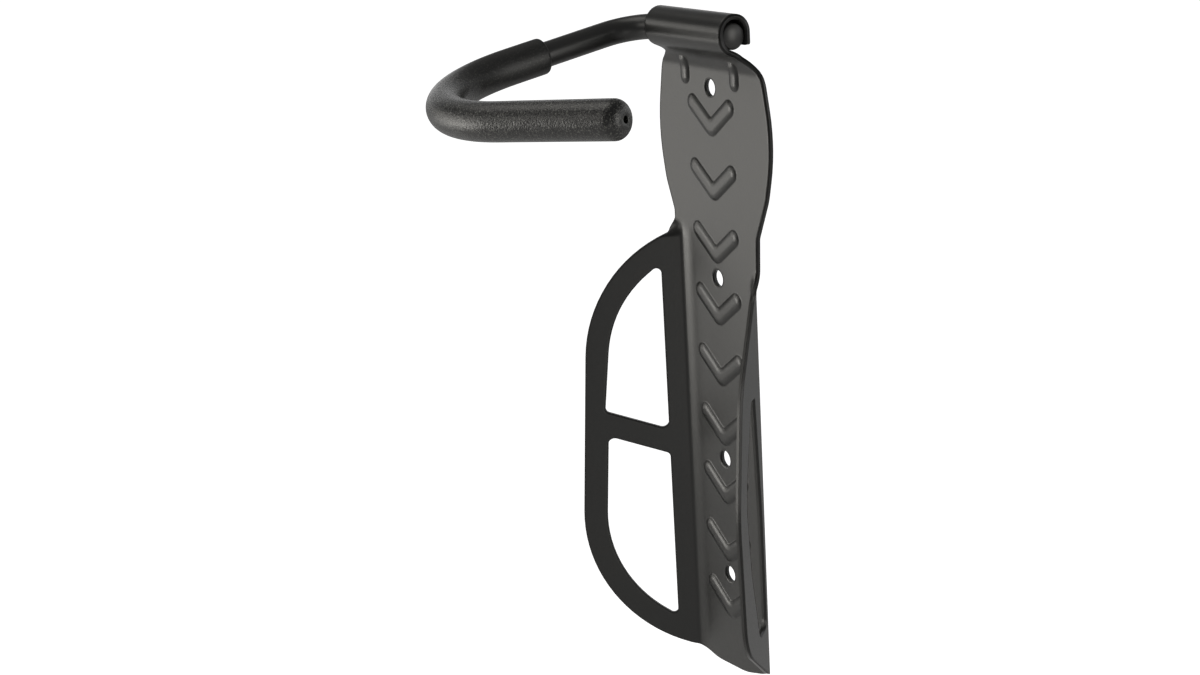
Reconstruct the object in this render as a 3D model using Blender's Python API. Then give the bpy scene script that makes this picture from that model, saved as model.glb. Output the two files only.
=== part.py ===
"""Bike wall hanger: a pressed steel wall plate with a rolled eye, and a sleeved rod hook that folds up in it.

The wall is the plane Y = 0 and the hanger stands out from it towards -Y. Z is up, and X is to the right when
the hanger is seen from the front. The origin is on the wall face of the plate, on its centre line, halfway
between the top and the bottom screw hole.
"""
import math

import bmesh
import bpy
from mathutils import Matrix, Vector

MM = 0.001

# Driving sizes, in millimetres and degrees.
SHEET = 2.0
BODY_HALF_WIDTH = 22.5
FOLD_ANGLE = 50.0
FOLD_RADIUS = 3.0

SCREW_HOLE_DIAMETER = 7.0
TOP_HOLE_Z = 100.0
SCREW_HOLE_DROPS = (0.0, 75.0, 150.0, 200.0)

CHEVRON_COUNT = 9
CHEVRON_PITCH = 25.1
CHEVRON_BELOW_TOP_HOLE = 19.9
CHEVRON_WIDTH = 6.8
CHEVRON_REACH = 11.9
CHEVRON_RISE = 8.9
CHEVRON_HEIGHT = 0.9
CHEVRON_SLOPE = 1.1

GUSSET_X = 16.2
GUSSET_WIDTH = 6.0
GUSSET_LENGTH = 12.0
GUSSET_RISE = 0.7
GUSSET_HEIGHT = 1.1
GUSSET_SLOPE = 1.4

NECK_FOOT_Z = 113.5
NECK_FOOT_ROUND = 2.0
HEAD_FOOT_Z = 60.5
HEAD_FOOT_HALF_WIDTH = 33.1
HEAD_FOOT_ROUND = 25.0
RIGHT_SHOULDER = (32.9, 106.5, 11.0)
RIGHT_HEAD_SIDE = (38.1, 81.5, 62.0)
RIGHT_WAIST = (26.4, 45.0, 5.0)
LEFT_SHOULDER = (32.3, 107.3, 8.0)
LEFT_HEAD_SIDE = (37.0, 80.8, 70.0)
LEFT_WAIST = (28.3, 48.5, 5.0)
BOTTOM = ((9.0, -140.6, 30.0), (-11.25, -141.7, 30.0))

WING_BAR = 9.8
WING_ROOT_STRIP = 9.3
CROSSBAR_WIDTH = 9.8
CROSSBAR_SLOPE = 16.5
CROSSBAR_MIDDLE = 20.0
CROSSBAR_Z = -45.2
WINDOW_ROUND = 2.0
WINDOW_WIDE_ROUND = 3.0
WINDOW_LEAD = 5.0

ROD_DIAMETER = 9.8
EYE_HALF_LENGTH = 24.55
EYE_SIDE_CLEARANCE = 0.15
EYE_RISE = 1.3
EYE_TAIL = 5.0
EYE_CORNER_ROUND = 0.8
NECK_TURN = 65.0
NECK_RADIUS = 10.0
ROD_AXIS_Z = 121.8

EYE_EXIT = 0.5
LEG_BEND_RADIUS = 15.8
LEG_LENGTH = 42.9
LEG_DIP = 9.5
HOOK_BEND_RADIUS = 48.0
HOOK_BEND_TURN = 113.5
TIP_LENGTH = 49.3
ROD_END_RECESS = 0.5

SLEEVE_WALL = 1.95
SLEEVE_CLEARANCE = 0.2
SLEEVE_START = 28.3
SLEEVE_END_WALL = 3.5
SLEEVE_MOUTH_ROUND = 0.8
SLEEVE_TIP_ROUND = 3.0
SLEEVE_TIP_STEP = 30.0
VENT_DIAMETER = 1.8

PIN_DIAMETER = 3.0
PIN_CLEARANCE = 0.2
PIN_TIP_RECESS = 0.45
PIN_ROOT_RADIUS = 1.0
PIN_REST_ANGLE = 140.0
NOTCH_CLEARANCE = 0.3

ARC_STEP = 9.0
BEAD_ARC_STEP = 30
FOLD_STEPS = 6
WELD = 0.02
CUTTER_OVERRUN = 2.0
STATION_GAP = 1.0
FULL_TURN = 360.0

# Sizes that follow from the driving ones.
EYE_INNER_RADIUS = ROD_DIAMETER / 2 + EYE_SIDE_CLEARANCE
EYE_OUTER_RADIUS = EYE_INNER_RADIUS + SHEET
ROD_AXIS_Y = -EYE_OUTER_RADIUS
CORNER_SETBACK = FOLD_RADIUS * math.tan(math.radians(FOLD_ANGLE) / 2)
FOLD_START = BODY_HALF_WIDTH - CORNER_SETBACK
FOLD_LENGTH = FOLD_RADIUS * math.radians(FOLD_ANGLE)
WING_ORIGIN = FOLD_START + FOLD_LENGTH - CORNER_SETBACK
CHEVRON_TOP_Z = TOP_HOLE_Z - CHEVRON_BELOW_TOP_HOLE


def turn(angle):
    """Unit vector at an angle in degrees, counter-clockwise from the first axis of a flat drawing."""
    return Vector((math.cos(math.radians(angle)), math.sin(math.radians(angle))))


def clear_scene():
    for item in list(bpy.data.objects):
        bpy.data.objects.remove(item, do_unlink=True)


def new_collection(name):
    collection = bpy.data.collections.new(name)
    bpy.context.scene.collection.children.link(collection)
    return collection


def principled(name, colour, roughness, metallic):
    material = bpy.data.materials.new(name)
    material.use_nodes = True
    shader = material.node_tree.nodes["Principled BSDF"]
    shader.inputs["Base Color"].default_value = (*colour, 1.0)
    shader.inputs["Roughness"].default_value = roughness
    shader.inputs["Metallic"].default_value = metallic
    return material


def hide_cutter(item):
    item.hide_render = True
    item.display_type = "WIRE"


def curve_to_mesh(curve_object, name, collection):
    """A mesh object that stands where the curve stood, with its caps welded."""
    depsgraph = bpy.context.evaluated_depsgraph_get()
    mesh = bpy.data.meshes.new_from_object(curve_object.evaluated_get(depsgraph))
    work = bmesh.new()
    work.from_mesh(mesh)
    bmesh.ops.remove_doubles(work, verts=work.verts, dist=WELD * MM)
    work.to_mesh(mesh)
    work.free()
    place = curve_object.matrix_world.copy()
    curve = curve_object.data
    bpy.data.objects.remove(curve_object, do_unlink=True)
    bpy.data.curves.remove(curve)
    item = bpy.data.objects.new(name, mesh)
    collection.objects.link(item)
    item.matrix_world = place
    return item


def add_boolean(item, cutter, operation):
    modifier = item.modifiers.new(cutter.name, "BOOLEAN")
    modifier.operation = operation
    modifier.solver = "EXACT"
    modifier.object = cutter


def shade_round(item, angle=30.0):
    item.data.shade_smooth()
    item.data.set_sharp_from_angle(angle=math.radians(angle))


# Flat outlines.

def cross(a, b):
    return a.x * b.y - a.y * b.x


def corner_arc(previous, corner, following):
    """Centre of the arc that rounds a corner (x, y, radius), its start seen from there, and its sweep."""
    tip = Vector(corner[:2])
    before = (Vector(previous[:2]) - tip).normalized()
    after = (Vector(following[:2]) - tip).normalized()
    half = before.angle(after) / 2
    centre = tip + (before + after).normalized() * corner[2] / math.sin(half)
    start = tip + before * corner[2] / math.tan(half) - centre
    return centre, start, math.copysign(math.pi - 2 * half, -cross(before, after))


def rounded_outline(corners):
    """Points of a polygon whose corners (x, y, radius) are rounded by arcs."""
    points = []
    for index, corner in enumerate(corners):
        if corner[2] <= 0:
            points.append(Vector(corner[:2]))
            continue
        centre, start, sweep = corner_arc(corners[index - 1], corner, corners[(index + 1) % len(corners)])
        steps = max(2, math.ceil(math.degrees(abs(sweep)) / ARC_STEP))
        for step in range(steps + 1):
            points.append(centre + Matrix.Rotation(sweep * step / steps, 2) @ start)
    return points


def circle(x, y, radius, steps=24):
    return [Vector((x, y)) + turn(FULL_TURN * step / steps) * radius for step in range(steps)]


def flat_curve(name, loops, collection):
    """A filled 2D curve from closed loops of points in millimetres; inner loops are holes."""
    curve = bpy.data.curves.new(name, "CURVE")
    curve.dimensions = "2D"
    curve.fill_mode = "BOTH"
    for loop in loops:
        spline = curve.splines.new("POLY")
        spline.points.add(len(loop) - 1)
        for point, (x, y) in zip(spline.points, loop):
            point.co = (x * MM, y * MM, 0.0, 1.0)
        spline.use_cyclic_u = True
    item = bpy.data.objects.new(name, curve)
    collection.objects.link(item)
    return item


# Wings: u runs outward along the front face of a wing from its corner with the body, z is height.

LEFT_WING_ROOT_TOP = (6.0, 39.8, 1.6)
LEFT_WING_TOP = (39.9, 24.5, 61.0)
LEFT_WING_BOTTOM = (50.0, -125.6, 58.0)
LEFT_WING_ROOT_BOTTOM = (3.8, -138.8, 12.0)
UPPER_WINDOW_BAR = (10.8, 4.5)
RIGHT_WING_ROOT_TOP = (3.0, 23.2, 3.0)
RIGHT_WING_SHOULDER = (27.5, -9.3, 40.0)
RIGHT_WING_BELLY = (37.4, -56.0, 60.0)
RIGHT_WING_BOTTOM = (33.6, -111.5, 24.0)
RIGHT_WING_ROOT_BOTTOM = (0.0, -136.6, 20.0)
RIGHT_WINDOW = (
    (9.2, -15.5, 1.5),
    (14.6, -15.5, 2.0),
    (27.6, -51.0, 45.0),
    (23.4, -83.0, 60.0),
    (14.2, -114.0, 3.0),
    (3.1, -114.0, 4.0),
    (4.4, -64.0, 120.0),
)


def offset_line(start, end, distance, end_distance=None):
    """The line from start to end moved to the right of its own direction, by two distances where it tapers."""
    start = Vector(start[:2])
    end = Vector(end[:2])
    along = (end - start).normalized()
    side = Vector((along.y, -along.x))
    near = start + side * distance
    far = end + side * (distance if end_distance is None else end_distance)
    return near, (far - near).normalized()


def meet(line_a, line_b):
    """Where two lines, each a point and a direction, cross."""
    (start_a, along_a), (start_b, along_b) = line_a, line_b
    return start_a + along_a * cross(start_b - start_a, along_b) / cross(along_a, along_b)


def arc_tangent(previous, corner, following, u, side):
    """The line that touches, at u, the arc one bar inside a rounded wing corner; side is 1 above, -1 below."""
    centre, start, _ = corner_arc(previous, corner, following)
    radius = start.length - WING_BAR
    spoke = Vector((u - centre.x, side * math.sqrt(radius ** 2 - (u - centre.x) ** 2)))
    return centre + spoke, Vector((spoke.y, -spoke.x)).normalized()


def left_windows():
    """The two windows of the left wing, above and below its slanting cross-bar."""
    touch = WING_ROOT_STRIP + WINDOW_LEAD
    top = arc_tangent(LEFT_WING_ROOT_TOP, LEFT_WING_TOP, LEFT_WING_BOTTOM, touch, 1)
    outer = offset_line(LEFT_WING_TOP, LEFT_WING_BOTTOM, WING_BAR)
    upper_outer = offset_line(LEFT_WING_TOP, LEFT_WING_BOTTOM, *UPPER_WINDOW_BAR)
    bottom = arc_tangent(LEFT_WING_TOP, LEFT_WING_BOTTOM, LEFT_WING_ROOT_BOTTOM, touch, -1)
    root = (Vector((WING_ROOT_STRIP, 0.0)), Vector((0.0, 1.0)))
    along_bar = turn(CROSSBAR_SLOPE)
    above_bar = turn(CROSSBAR_SLOPE + 90) * CROSSBAR_WIDTH / 2
    bar_middle = Vector((CROSSBAR_MIDDLE, CROSSBAR_Z))
    bar_top = (bar_middle + above_bar, along_bar)
    bar_bottom = (bar_middle - above_bar, along_bar)
    upper = [
        (*meet(root, top), WINDOW_ROUND),
        (*meet(top, upper_outer), LEFT_WING_TOP[2] - WING_BAR),
        (*meet(upper_outer, bar_top), WINDOW_ROUND),
        (*meet(root, bar_top), WINDOW_WIDE_ROUND),
    ]
    lower = [
        (*meet(root, bar_bottom), WINDOW_ROUND),
        (*meet(outer, bar_bottom), WINDOW_WIDE_ROUND),
        (*meet(outer, bottom), LEFT_WING_BOTTOM[2] - WING_BAR),
        (*meet(root, bottom), WINDOW_ROUND),
    ]
    return [rounded_outline(upper), rounded_outline(lower)]


# Blank: the whole plate laid flat, before it is folded and rolled. Its height up to the neck is the real Z.

def eye_path():
    """Front face of the neck and eye as runs of (length, turn in degrees); a positive turn is towards the wall."""
    outer = math.radians(1) * EYE_OUTER_RADIUS
    return [
        (math.radians(NECK_TURN) * NECK_RADIUS, -NECK_TURN),
        (neck_straight(), 0.0),
        (NECK_TURN * outer, NECK_TURN),
        (EYE_RISE, 0.0),
        (180.0 * outer, 180.0),
        (EYE_TAIL, 0.0),
    ]


def neck_straight():
    """Length of the sloping run between the neck bend and the eye, which ends level with the wall face."""
    bends = (NECK_RADIUS + EYE_OUTER_RADIUS) * (1 - math.cos(math.radians(NECK_TURN)))
    reach = 2 * EYE_OUTER_RADIUS - SHEET
    return (reach - bends) / math.sin(math.radians(NECK_TURN))


def neck_start_z():
    """Height at which the neck bend starts, so that the eye comes round the rod's axis."""
    slope = math.radians(NECK_TURN)
    rise = (NECK_RADIUS + EYE_OUTER_RADIUS) * math.sin(slope) + neck_straight() * math.cos(slope)
    return ROD_AXIS_Z - rise


def blank_top():
    return neck_start_z() + sum(length for length, _ in eye_path())


def notch_depth():
    """Length of the notch in the eye's free edge, up to where the pin stands at rest."""
    middle_radius = (EYE_INNER_RADIUS + EYE_OUTER_RADIUS) / 2
    along = Vector((-math.cos(math.radians(PIN_REST_ANGLE)), math.sin(math.radians(PIN_REST_ANGLE))))
    side = Vector((-along.y, along.x)) * (PIN_DIAMETER / 2 + NOTCH_CLEARANCE)
    start = side - Vector((0.0, EYE_RISE))
    reach = -start.dot(along) + math.sqrt(start.dot(along) ** 2 - start.length_squared + middle_radius ** 2)
    touch = start + along * reach
    past_top = math.atan2(touch.x, touch.y)
    return EYE_TAIL + (math.pi / 2 - past_top) * EYE_OUTER_RADIUS


def blank_outline():
    """Closed outline of the blank, clockwise from the notch in its top edge."""
    top = blank_top()
    notch = PIN_DIAMETER / 2 + NOTCH_CLEARANCE
    neck = [(EYE_HALF_LENGTH, top, EYE_CORNER_ROUND), (EYE_HALF_LENGTH, NECK_FOOT_Z, NECK_FOOT_ROUND)]
    foot = (HEAD_FOOT_HALF_WIDTH, HEAD_FOOT_Z, HEAD_FOOT_ROUND)
    right_head = neck + [RIGHT_SHOULDER, RIGHT_HEAD_SIDE, foot, RIGHT_WAIST]
    left_head = neck + [LEFT_SHOULDER, LEFT_HEAD_SIDE, foot, LEFT_WAIST]
    right_wing = [
        RIGHT_WING_ROOT_TOP,
        RIGHT_WING_SHOULDER,
        RIGHT_WING_BELLY,
        RIGHT_WING_BOTTOM,
        RIGHT_WING_ROOT_BOTTOM,
    ]
    left_wing = [
        LEFT_WING_ROOT_BOTTOM,
        LEFT_WING_BOTTOM,
        LEFT_WING_TOP,
        LEFT_WING_ROOT_TOP,
    ]
    notch_foot = top - notch_depth()
    corners = [(notch, top, 0.0)] + right_head
    corners += [(WING_ORIGIN + u, z, radius) for u, z, radius in right_wing]
    corners += BOTTOM
    corners += [(-WING_ORIGIN - u, z, radius) for u, z, radius in left_wing]
    corners += [(-x, z, radius) for x, z, radius in reversed(left_head)]
    corners += [(-notch, top, 0.0)]
    corners += [(-notch, notch_foot, EYE_CORNER_ROUND), (notch, notch_foot, EYE_CORNER_ROUND)]
    return rounded_outline(corners)


def blank_holes():
    holes = [circle(0.0, TOP_HOLE_Z - drop, SCREW_HOLE_DIAMETER / 2) for drop in SCREW_HOLE_DROPS]
    for window in left_windows():
        holes.append([Vector((-WING_ORIGIN - u, z)) for u, z in window])
    holes.append([Vector((WING_ORIGIN + u, z)) for u, z in rounded_outline(RIGHT_WINDOW)])
    return holes


# Embossing: each pressed bead is a stack of (outline, height) rings, from its foot inwards to its flat top.

def chevron_outline(shrink, drop):
    """A V with round ends, its lowest point at height drop; shrink draws its edge in."""
    half = CHEVRON_WIDTH / 2 - shrink
    arm = Vector((CHEVRON_REACH, CHEVRON_RISE))
    tilt = round(math.degrees(math.atan2(arm.y, arm.x)))
    diagonal = arm.length / arm.x
    vertex = Vector((0.0, drop + CHEVRON_WIDTH / 2 * diagonal))
    left_end = vertex + Vector((-arm.x, arm.y))
    right_end = vertex + arm
    points = [vertex - Vector((0.0, half * diagonal))]
    points += [right_end + turn(tilt + angle) * half for angle in range(-90, 91, BEAD_ARC_STEP)]
    points += [vertex + Vector((0.0, half * diagonal))]
    points += [left_end + turn(angle - tilt) * half for angle in range(90, 271, BEAD_ARC_STEP)]
    return points


def gusset_outline(shrink, side):
    """An oval across the neck bend, to the left (-1) or right (1) of the centre line."""
    middle = Vector((side * GUSSET_X, neck_start_z() + GUSSET_RISE))
    half_width = GUSSET_WIDTH / 2 - shrink
    half_length = GUSSET_LENGTH / 2 - shrink
    return [middle + Vector((point.x * half_width, point.y * half_length)) for point in circle(0.0, 0.0, 1.0, 16)]


def bead_rings(outline, place, height, slope):
    return [(outline(0.0, place), 0.0), (outline(slope, place), height)]


def beads():
    """Every pressed bead of the plate."""
    chevrons = [CHEVRON_TOP_Z - index * CHEVRON_PITCH for index in range(CHEVRON_COUNT)]
    stacks = [bead_rings(chevron_outline, drop, CHEVRON_HEIGHT, CHEVRON_SLOPE) for drop in chevrons]
    stacks += [bead_rings(gusset_outline, side, GUSSET_HEIGHT, GUSSET_SLOPE) for side in (-1, 1)]
    return stacks


def press_bead(work, rings):
    """Fills a bead-shaped gap in the flat blank with its raised faces."""
    stack = [[work.verts.new((x * MM, y * MM, height * MM)) for x, y in outline] for outline, height in rings]
    for lower, upper in zip(stack, stack[1:]):
        count = len(lower)
        for index in range(count):
            following = (index + 1) % count
            work.faces.new((lower[index], lower[following], upper[following], upper[index]))
    work.faces.new(stack[-1])


# Folding: a point of the blank's front face, at (s, t) and raised by a height, goes to its finished place.
# The fold is flat above the first height of each side and full below the second.

LEFT_FOLD_TOP = (45.5, 38.0)
RIGHT_FOLD_TOP = (33.0, 21.0)


def fold_angle(s, t):
    """Fold of the wing at height t, in radians; it fades out above the wing into the flat head."""
    flat_z, full_z = LEFT_FOLD_TOP if s < 0 else RIGHT_FOLD_TOP
    share = min(max((flat_z - t) / (flat_z - full_z), 0.0), 1.0)
    return math.radians(FOLD_ANGLE) * share * share * (3 - 2 * share)


def fold_wing(s, t, raised):
    """Sideways place and depth in front of the flat face of a point beside the body."""
    past = abs(s) - FOLD_START
    angle = fold_angle(s, t)
    if past <= 0 or angle <= 0:
        return s, raised
    bent = min(past, FOLD_LENGTH)
    part = angle * bent / FOLD_LENGTH
    radius = FOLD_LENGTH / angle
    straight = past - bent
    across = FOLD_START + (radius - raised) * math.sin(part) + straight * math.cos(part)
    depth = radius - (radius - raised) * math.cos(part) + straight * math.sin(part)
    return math.copysign(across, s), depth


def roll_eye(t, raised):
    """Depth in front of the flat face and height of a point above the neck's start."""
    depth = 0.0
    height = neck_start_z()
    left = t - height
    heading = 0.0
    for length, angle in eye_path():
        run = min(left, length)
        swing = math.radians(angle) * run / length
        if angle:
            radius = length / math.radians(angle)
            depth += radius * (math.cos(heading + swing) - math.cos(heading))
            height += radius * (math.sin(heading + swing) - math.sin(heading))
        else:
            depth -= run * math.sin(heading)
            height += run * math.cos(heading)
        heading += swing
        left -= run
        if left <= 0:
            break
    return depth + raised * math.cos(heading), height + raised * math.sin(heading)


def folded(s, t, raised):
    if t > neck_start_z():
        depth, height = roll_eye(t, raised)
        return Vector((s, -SHEET - depth, height)) * MM
    across, depth = fold_wing(s, t, raised)
    return Vector((across, -SHEET - depth, t)) * MM


def bend_lines():
    """Levels of s and t at which the blank needs an edge so that it can bend."""
    across = []
    for step in range(FOLD_STEPS + 1):
        line = FOLD_START + FOLD_LENGTH * step / FOLD_STEPS
        across += [-line, line]
    up = []
    for flat_z, full_z in (LEFT_FOLD_TOP, RIGHT_FOLD_TOP):
        up += [full_z + (flat_z - full_z) * step / FOLD_STEPS for step in range(FOLD_STEPS + 1)]
    level = neck_start_z()
    for length, angle in eye_path():
        steps = max(1, math.ceil(abs(angle) / ARC_STEP))
        up += [level + length * step / steps for step in range(steps)]
        level += length
    return across, up


def cut_at(work, place, normal):
    """Splits the blank's faces along a line; place and normal are flat vectors."""
    geometry = list(work.verts) + list(work.edges) + list(work.faces)
    bmesh.ops.bisect_plane(work, geom=geometry, plane_co=(*(place * MM), 0.0), plane_no=(*normal, 0.0),
                           dist=WELD * MM)


def make_back_plate(parts, material):
    """One blank of sheet, cut, embossed, folded at both sides and rolled at the top."""
    loops = [blank_outline()] + blank_holes() + [rings[0][0] for rings in beads()]
    flat = curve_to_mesh(flat_curve("back_plate_blank", loops, parts), "back_plate", parts)
    work = bmesh.new()
    work.from_mesh(flat.data)
    bmesh.ops.dissolve_limit(work, angle_limit=math.radians(1), verts=[], edges=work.edges)
    for rings in beads():
        press_bead(work, rings)
    bmesh.ops.remove_doubles(work, verts=work.verts, dist=WELD * MM)
    across, up = bend_lines()
    for s in across:
        cut_at(work, Vector((s, 0.0)), Vector((1.0, 0.0)))
    for t in up:
        cut_at(work, Vector((0.0, t)), Vector((0.0, 1.0)))
    bmesh.ops.remove_doubles(work, verts=work.verts, dist=WELD * MM)
    bmesh.ops.triangulate(work, faces=work.faces)
    back = bmesh.ops.extrude_face_region(work, geom=work.faces[:], use_keep_orig=True)
    for vert in back["geom"]:
        if isinstance(vert, bmesh.types.BMVert):
            vert.co.z -= SHEET * MM
    bmesh.ops.triangulate(work, faces=work.faces)
    for vert in work.verts:
        vert.co = folded(*(vert.co / MM))
    bmesh.ops.recalc_face_normals(work, faces=work.faces)
    work.to_mesh(flat.data)
    work.free()
    flat.data.materials.append(material)
    shade_round(flat)
    return flat


# Hook: a path in the hook's own plane, s to the right and f forward, then tipped down about the eye's axis.

class HookPath:
    """Centre line of the bent rod, from its end inside the eye to its tip."""

    def __init__(self):
        start = Vector((EYE_HALF_LENGTH - ROD_END_RECESS, 0.0))
        eye_run = 2 * EYE_HALF_LENGTH - ROD_END_RECESS + EYE_EXIT
        self.runs = [
            (eye_run, 0.0),
            (math.radians(90) * LEG_BEND_RADIUS, -90.0),
            (LEG_LENGTH, 0.0),
            (math.radians(HOOK_BEND_TURN) * HOOK_BEND_RADIUS, -HOOK_BEND_TURN),
            (TIP_LENGTH, 0.0),
        ]
        self.start = start
        self.length = sum(length for length, _ in self.runs)
        self.leg_start = eye_run + self.runs[1][0]

    def at(self, distance):
        """Point and heading at a distance along the path."""
        point = self.start.copy()
        heading = 180.0
        left = distance
        for length, angle in self.runs:
            run = min(left, length)
            if angle:
                radius = length / math.radians(abs(angle))
                swing = angle * run / length
                centre = point + turn(heading - 90) * radius
                point = centre + turn(heading + 90 + swing) * radius
                heading += swing
            else:
                point = point + turn(heading) * run
            left -= run
            if left <= 0:
                break
        return point, heading

    def stations(self, start, end):
        """Distances at which the path needs a point between start and end."""
        stops = {start, end}
        level = 0.0
        for length, angle in self.runs:
            steps = max(1, math.ceil(abs(angle) / ARC_STEP))
            stops.update(level + length * step / steps for step in range(steps + 1))
            level += length
        return sorted(stop for stop in stops if start <= stop <= end)


def make_tube(name, path, stops, collection):
    """A round rod along the hook path; each stop is a distance and a radius."""
    curve = bpy.data.curves.new(name, "CURVE")
    curve.dimensions = "3D"
    curve.bevel_depth = MM
    curve.bevel_resolution = 8
    curve.use_fill_caps = True
    spline = curve.splines.new("POLY")
    spline.points.add(len(stops) - 1)
    for point, (distance, radius) in zip(spline.points, stops):
        place, heading = path.at(min(distance, path.length))
        place = place + turn(heading) * max(0.0, distance - path.length)
        point.co = (place.x * MM, -place.y * MM, 0.0, 1.0)
        point.radius = radius
    item = bpy.data.objects.new(name, curve)
    collection.objects.link(item)
    return curve_to_mesh(item, name, collection)


def set_on_pivot(item, pivot):
    item.parent = pivot
    item.matrix_world = pivot.matrix_world @ Matrix.Rotation(math.radians(LEG_DIP), 4, "X")


def make_hook_rod(path, pivot, parts, cutters, material):
    radius = ROD_DIAMETER / 2
    stops = [(distance, radius) for distance in path.stations(0.0, path.length)]
    rod = make_tube("hook_rod", path, stops, parts)
    rod.data.materials.append(material)
    set_on_pivot(rod, pivot)
    bore_radius = PIN_DIAMETER / 2 + PIN_CLEARANCE / 2
    bore = make_cross_cylinder("pin_bore", bore_radius, PIN_ROOT_RADIUS - PIN_CLEARANCE, ROD_DIAMETER, cutters)
    bore.parent = pivot
    bore.matrix_parent_inverse.identity()
    hide_cutter(bore)
    add_boolean(rod, bore, "DIFFERENCE")
    shade_round(rod)
    return rod


def make_cross_cylinder(name, radius, start, end, collection):
    """A cylinder square to the rod's axis, from one distance from that axis to another, at the pin's rest angle."""
    angle = math.radians(PIN_REST_ANGLE)
    along = Vector((0.0, -math.cos(angle), math.sin(angle)))
    work = bmesh.new()
    turned = along.to_track_quat("Z", "X").to_matrix().to_4x4()
    place = Matrix.Translation(along * (start + end) / 2 * MM)
    bmesh.ops.create_cone(work, cap_ends=True, segments=20, radius1=radius * MM, radius2=radius * MM,
                          depth=(end - start) * MM, matrix=place @ turned)
    mesh = bpy.data.meshes.new(name)
    work.to_mesh(mesh)
    work.free()
    item = bpy.data.objects.new(name, mesh)
    collection.objects.link(item)
    return item


def make_stop_pin(pivot, parts, material):
    """Pin pressed crosswise into the rod; it moves in the notch of the eye's free edge."""
    tip_radius = EYE_OUTER_RADIUS - PIN_TIP_RECESS
    pin = make_cross_cylinder("stop_pin", PIN_DIAMETER / 2, PIN_ROOT_RADIUS, tip_radius, parts)
    pin.data.materials.append(material)
    pin.parent = pivot
    pin.matrix_parent_inverse.identity()
    shade_round(pin)
    return pin


def make_grip_sleeve(path, pivot, parts, cutters, material):
    """Foam tube over the outer leg, the bend and the tip, with a closed round end and a vent hole."""
    outer = ROD_DIAMETER / 2 + SLEEVE_CLEARANCE + SLEEVE_WALL
    start = path.leg_start + SLEEVE_START
    end = path.length + SLEEVE_END_WALL
    mouth = SLEEVE_MOUTH_ROUND
    tip = SLEEVE_TIP_ROUND
    stops = [(start, outer - mouth), (start + mouth, outer)]
    middle = path.stations(start + mouth + STATION_GAP, path.length - STATION_GAP)
    stops += [(distance, outer) for distance in middle]
    for step in range(math.ceil(90.0 / SLEEVE_TIP_STEP) + 1):
        angle = math.radians(SLEEVE_TIP_STEP * step)
        stops.append((end - tip + tip * math.sin(angle), outer - tip + tip * math.cos(angle)))
    sleeve = make_tube("grip_sleeve", path, stops, parts)
    sleeve.data.materials.append(material)
    set_on_pivot(sleeve, pivot)
    bore_radius = ROD_DIAMETER / 2 + SLEEVE_CLEARANCE
    bore_end = path.length + SLEEVE_CLEARANCE
    bore_stops = [(distance, bore_radius) for distance in path.stations(start - CUTTER_OVERRUN, path.length)]
    bore_stops[-1] = (bore_end, bore_radius)
    bore = make_tube("sleeve_bore", path, bore_stops, cutters)
    vent_radius = VENT_DIAMETER / 2
    vent_stops = [(path.length - CUTTER_OVERRUN, vent_radius), (end + CUTTER_OVERRUN, vent_radius)]
    vent = make_tube("sleeve_vent", path, vent_stops, cutters)
    for cutter in (bore, vent):
        set_on_pivot(cutter, pivot)
        hide_cutter(cutter)
        add_boolean(sleeve, cutter, "DIFFERENCE")
    shade_round(sleeve)
    return sleeve


def main():
    clear_scene()
    parts = new_collection("bike_wall_hanger")
    cutters = new_collection("cutters")
    black_steel = principled("powder coated steel", (0.035, 0.035, 0.033), 0.42, 0.0)
    rod_steel = principled("painted rod steel", (0.022, 0.022, 0.022), 0.38, 0.0)
    foam = principled("black foam", (0.02, 0.02, 0.02), 0.8, 0.0)
    pin_steel = principled("plain pin steel", (0.45, 0.45, 0.46), 0.35, 1.0)

    make_back_plate(parts, black_steel)

    pivot = bpy.data.objects.new("hook_pivot", None)
    parts.objects.link(pivot)
    pivot.location = (0.0, ROD_AXIS_Y * MM, ROD_AXIS_Z * MM)
    bpy.context.view_layer.update()

    path = HookPath()
    make_hook_rod(path, pivot, parts, cutters, rod_steel)
    make_grip_sleeve(path, pivot, parts, cutters, foam)
    make_stop_pin(pivot, parts, pin_steel)


main()
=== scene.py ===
"""Bike wall hanger: a powder-coated plate with a rolled eye, and the sleeved rod hook that folds up in it.

Sizes are in millimetres. The wall is the plane Y = 0, the hanger stands out from it towards -Y, Z is up and X
is to the right when the hanger is seen from the front.
"""
import math

import bmesh
import bpy
from mathutils import Matrix, Vector


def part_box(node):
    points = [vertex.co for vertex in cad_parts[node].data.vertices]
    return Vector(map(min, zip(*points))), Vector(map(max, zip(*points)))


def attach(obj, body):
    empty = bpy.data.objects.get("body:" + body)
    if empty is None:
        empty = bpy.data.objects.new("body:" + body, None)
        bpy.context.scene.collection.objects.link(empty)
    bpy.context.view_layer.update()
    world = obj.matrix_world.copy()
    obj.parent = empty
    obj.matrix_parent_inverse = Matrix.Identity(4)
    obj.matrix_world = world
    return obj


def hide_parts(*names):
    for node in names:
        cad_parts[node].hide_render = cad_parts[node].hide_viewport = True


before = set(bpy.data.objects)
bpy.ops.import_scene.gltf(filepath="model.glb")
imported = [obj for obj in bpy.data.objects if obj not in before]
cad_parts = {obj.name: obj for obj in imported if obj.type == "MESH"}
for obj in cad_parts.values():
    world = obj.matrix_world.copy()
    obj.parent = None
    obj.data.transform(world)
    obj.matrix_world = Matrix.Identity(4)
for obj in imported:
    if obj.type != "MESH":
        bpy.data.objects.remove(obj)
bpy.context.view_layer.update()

# ------------------------------------------------------------------------------------------------ Back plate
# One blank of 2 mm sheet steel, cut out with its screw holes and windows and pressed with ribs. Its two sides
# are folded forward as wings and its top is rolled into the eye. Black powder coat is baked on all over.

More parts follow.
